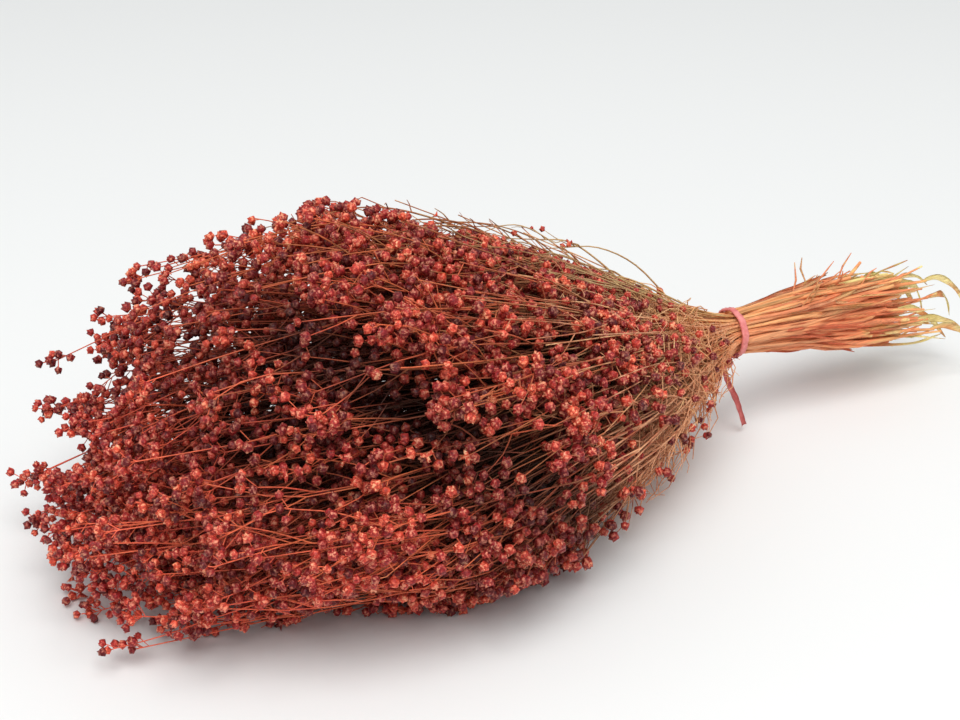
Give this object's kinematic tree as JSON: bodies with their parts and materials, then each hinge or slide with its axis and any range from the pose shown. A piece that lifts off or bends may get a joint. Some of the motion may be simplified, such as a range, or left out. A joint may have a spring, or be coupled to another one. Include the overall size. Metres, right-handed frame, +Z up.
{
  "type": "dried seed head bunch",
  "caption": "Tied bunch of dried, dyed seed sprays lying on its side: thin branching stems, small round capsules in a dense fanned head, a strip tied round the cut stems.",
  "frame": {"origin": "on the surface that the bunch lies on, under the middle of its bounding box, the loose end of the tie left out", "axes": "+X along the bunch from the head to the cut stem ends, +Z up from the surface, -Y towards the side that the picture shows nearer"},
  "size_m": [0.5526, 0.2518, 0.1897],
  "materials": {
    "crimson_spray": "matte dyed seed capsules on dry stems",
    "russet_spray": "matte dyed seed capsules on dry stems, paler",
    "olive_spray": "matte dry twig with few capsules",
    "tie_strip": "soft satin twisted strip"
  },
  "bodies": {
    "root": {"spray_01": "crimson_spray", "spray_02": "crimson_spray", "spray_03": "russet_spray", "spray_04": "crimson_spray", "spray_05": "crimson_spray", "spray_06": "crimson_spray", "spray_07": "crimson_spray", "spray_08": "russet_spray", "spray_09": "crimson_spray", "spray_10": "crimson_spray", "spray_11": "crimson_spray", "spray_12": "crimson_spray", "spray_13": "russet_spray", "spray_14": "crimson_spray", "spray_15": "crimson_spray", "spray_16": "crimson_spray", "spray_17": "crimson_spray", "spray_18": "russet_spray", "spray_19": "crimson_spray", "spray_20": "crimson_spray", "spray_21": "crimson_spray", "spray_22": "crimson_spray", "spray_23": "russet_spray", "spray_24": "crimson_spray", "spray_25": "crimson_spray", "spray_26": "crimson_spray", "spray_27": "crimson_spray", "spray_28": "russet_spray", "spray_29": "crimson_spray", "spray_30": "crimson_spray", "spray_31": "crimson_spray", "spray_32": "crimson_spray", "spray_33": "russet_spray", "spray_34": "crimson_spray", "spray_35": "crimson_spray", "spray_36": "crimson_spray", "spray_37": "crimson_spray", "spray_38": "russet_spray", "spray_39": "crimson_spray", "spray_40": "crimson_spray", "spray_41": "olive_spray", "spray_42": "crimson_spray", "tie_band": "tie_strip", "tie_tail": "tie_strip"}
  },
  "joints": []
}
